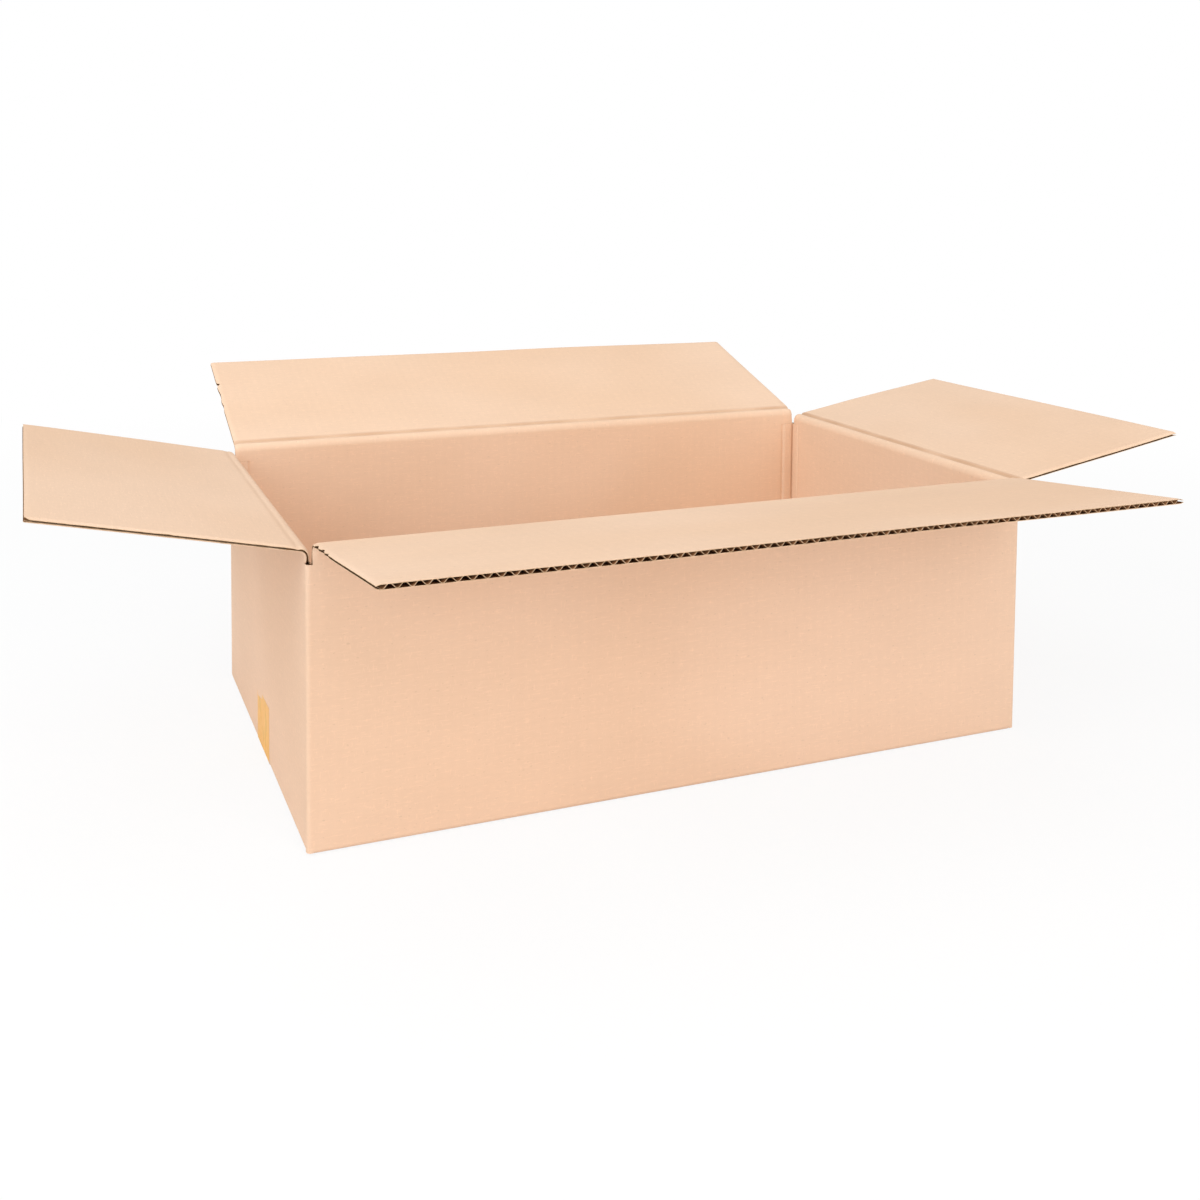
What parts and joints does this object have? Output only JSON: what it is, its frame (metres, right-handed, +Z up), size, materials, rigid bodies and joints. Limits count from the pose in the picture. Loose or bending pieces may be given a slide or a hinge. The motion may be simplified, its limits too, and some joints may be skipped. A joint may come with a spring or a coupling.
{
  "type": "open cardboard box",
  "caption": "Open slotted cardboard carton with four hinged top flaps, a glued corner and a taped bottom.",
  "frame": {"origin": "centre of the bottom, on the surface that the box stands on", "axes": "+X along the box's length, +Y from the front wall to the back wall, +Z up out of the mouth"},
  "size_m": [0.8585, 0.6429, 0.2456],
  "materials": {
    "kraft_board": "matt kraft liner",
    "packing_tape": "thin clear amber film"
  },
  "bodies": {
    "box_body": {"box_body": "kraft_board", "bottom_tape": "packing_tape"},
    "flap_front": {"flap_front": "kraft_board"},
    "flap_back": {"flap_back": "kraft_board"},
    "flap_left": {"flap_left": "kraft_board"},
    "flap_right": {"flap_right": "kraft_board"}
  },
  "joints": [
    {"name": "front_flap_fold", "type": "hinge", "parent": "box_body", "child": "flap_front", "pos_m": [0, -0.164, 0.192], "axis": [1, 0, 0], "range_deg": [-173, 92]},
    {"name": "back_flap_fold", "type": "hinge", "parent": "box_body", "child": "flap_back", "pos_m": [0, 0.164, 0.192], "axis": [-1, 0, 0], "range_deg": [-162, 103]},
    {"name": "left_flap_fold", "type": "hinge", "parent": "box_body", "child": "flap_left", "pos_m": [-0.27, 0, 0.188], "axis": [0, -1, 0], "range_deg": [-168.5, 96.5]},
    {"name": "right_flap_fold", "type": "hinge", "parent": "box_body", "child": "flap_right", "pos_m": [0.27, 0, 0.188], "axis": [0, 1, 0], "range_deg": [-170.5, 94.5]}
  ]
}
